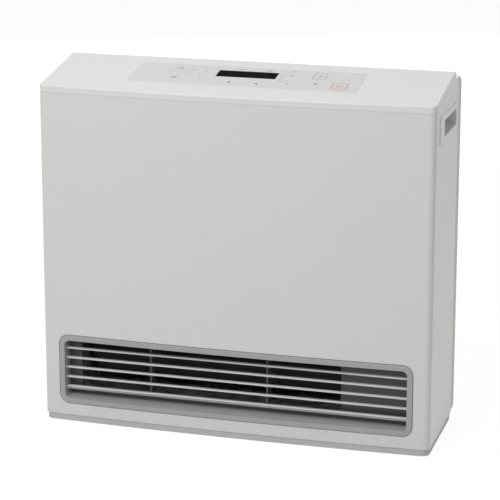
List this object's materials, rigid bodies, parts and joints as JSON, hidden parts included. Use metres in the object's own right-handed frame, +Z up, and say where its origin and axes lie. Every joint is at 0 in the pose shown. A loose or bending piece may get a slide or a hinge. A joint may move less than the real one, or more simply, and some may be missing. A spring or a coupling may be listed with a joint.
{
  "type": "gas fan heater",
  "caption": "Free-standing gas fan heater: thin upright casing, sloping control panel, louvred warm-air outlet low in front, hand grips in the sides, rear intake with pull-out filter.",
  "frame": {"origin": "middle of the footprint, on the floor", "axes": "+X to the viewer's right, +Y from the front to the back, +Z up"},
  "size_m": [0.4416, 0.1507, 0.4018],
  "materials": {
    "white_painted_sheet": "satin white paint",
    "white_plastic": "fine matt white plastic",
    "panel_film": "printed matt film",
    "dark_window": "smoked gloss plastic",
    "key_film": "matt key pads",
    "grey_plastic": "matt grey plastic",
    "light_grey_plastic": "matt light grey plastic",
    "dark_plastic": "dark plastic",
    "zinc_sheet": "zinc-plated sheet",
    "heatproof_sheet": "heat-tinted steel sheet",
    "steel": "plain steel",
    "aluminium_cast": "cast aluminium",
    "brass": "turned brass",
    "rubber": "black rubber",
    "circuit_board": "green circuit board",
    "rear_grey_plastic": "matt white plastic"
  },
  "bodies": {
    "heater": {"base_plinth": "grey_plastic", "base_feet": "rubber", "floor_pan": "zinc_sheet", "front_casing": "white_painted_sheet", "top_cover": "white_plastic", "panel_sheet": "panel_film", "display_window": "dark_window", "grip_right": "white_plastic", "grip_left": "white_plastic", "outlet_bezel": "grey_plastic", "duct_mouth": "heatproof_sheet", "fan_side_left": "zinc_sheet", "fan_side_right": "zinc_sheet", "fan_scroll": "zinc_sheet", "fan_tongue": "zinc_sheet", "fan_bush": "brass", "bush_mount": "rubber", "fan_motor": "steel", "motor_bracket": "zinc_sheet", "motor_screws": "steel", "inner_bracket": "zinc_sheet", "combustion_chamber": "heatproof_sheet", "burner": "heatproof_sheet", "spark_electrode": "white_plastic", "flame_rod": "white_plastic", "gas_valve": "aluminium_cast", "gas_pipe": "steel", "feed_pipe": "aluminium_cast", "gas_plug": "brass", "control_board": "circuit_board", "display_board": "circuit_board", "igniter": "dark_plastic", "tip_over_switch": "dark_plastic", "room_thermistor": "white_plastic", "overheat_limiter": "steel", "rear_cover": "rear_grey_plastic", "cord_gland": "rubber", "rear_screws": "steel", "base_screws": "steel", "louvre_slat_1": "light_grey_plastic", "louvre_slat_2": "light_grey_plastic", "louvre_slat_3": "light_grey_plastic", "louvre_slat_4": "light_grey_plastic", "louvre_slat_5": "light_grey_plastic", "louvre_rib_left": "light_grey_plastic", "louvre_rib_right": "light_grey_plastic"},
    "fan": {"fan_rotor": "dark_plastic", "fan_stub": "steel", "motor_shaft": "steel"},
    "filter": {"filter_frame": "grey_plastic", "filter_mesh": "dark_plastic"},
    "key_run_stop": {"key_run_stop": "key_film"},
    "key_eco": {"key_eco": "key_film"},
    "key_lock": {"key_lock": "key_film"},
    "key_temp_down": {"key_temp_down": "key_film"},
    "key_temp_up": {"key_temp_up": "key_film"},
    "key_timer_on": {"key_timer_on": "key_film"},
    "key_timer_off": {"key_timer_off": "key_film"}
  },
  "joints": [
    {"name": "fan_spin", "type": "hinge", "parent": "heater", "child": "fan", "pos_m": [0, 0, 0.07], "axis": [1, 0, 0], "continuous": true},
    {"name": "filter_lift", "type": "slide", "parent": "heater", "child": "filter", "axis": [0, 0, 1], "range_m": [0, 0.3]},
    {"name": "key_run_stop_press", "type": "slide", "parent": "heater", "child": "key_run_stop", "axis": [0, 0.1594, -0.9872], "range_m": [0, 0.0005], "stiffness_N_per_m": 400},
    {"name": "key_eco_press", "type": "slide", "parent": "heater", "child": "key_eco", "axis": [0, 0.1594, -0.9872], "range_m": [0, 0.0005], "stiffness_N_per_m": 400},
    {"name": "key_lock_press", "type": "slide", "parent": "heater", "child": "key_lock", "axis": [0, 0.1594, -0.9872], "range_m": [0, 0.0005], "stiffness_N_per_m": 400},
    {"name": "key_temp_down_press", "type": "slide", "parent": "heater", "child": "key_temp_down", "axis": [0, 0.1594, -0.9872], "range_m": [0, 0.0005], "stiffness_N_per_m": 400},
    {"name": "key_temp_up_press", "type": "slide", "parent": "heater", "child": "key_temp_up", "axis": [0, 0.1594, -0.9872], "range_m": [0, 0.0005], "stiffness_N_per_m": 400},
    {"name": "key_timer_on_press", "type": "slide", "parent": "heater", "child": "key_timer_on", "axis": [0, 0.1594, -0.9872], "range_m": [0, 0.0005], "stiffness_N_per_m": 400},
    {"name": "key_timer_off_press", "type": "slide", "parent": "heater", "child": "key_timer_off", "axis": [0, 0.1594, -0.9872], "range_m": [0, 0.0005], "stiffness_N_per_m": 400}
  ]
}
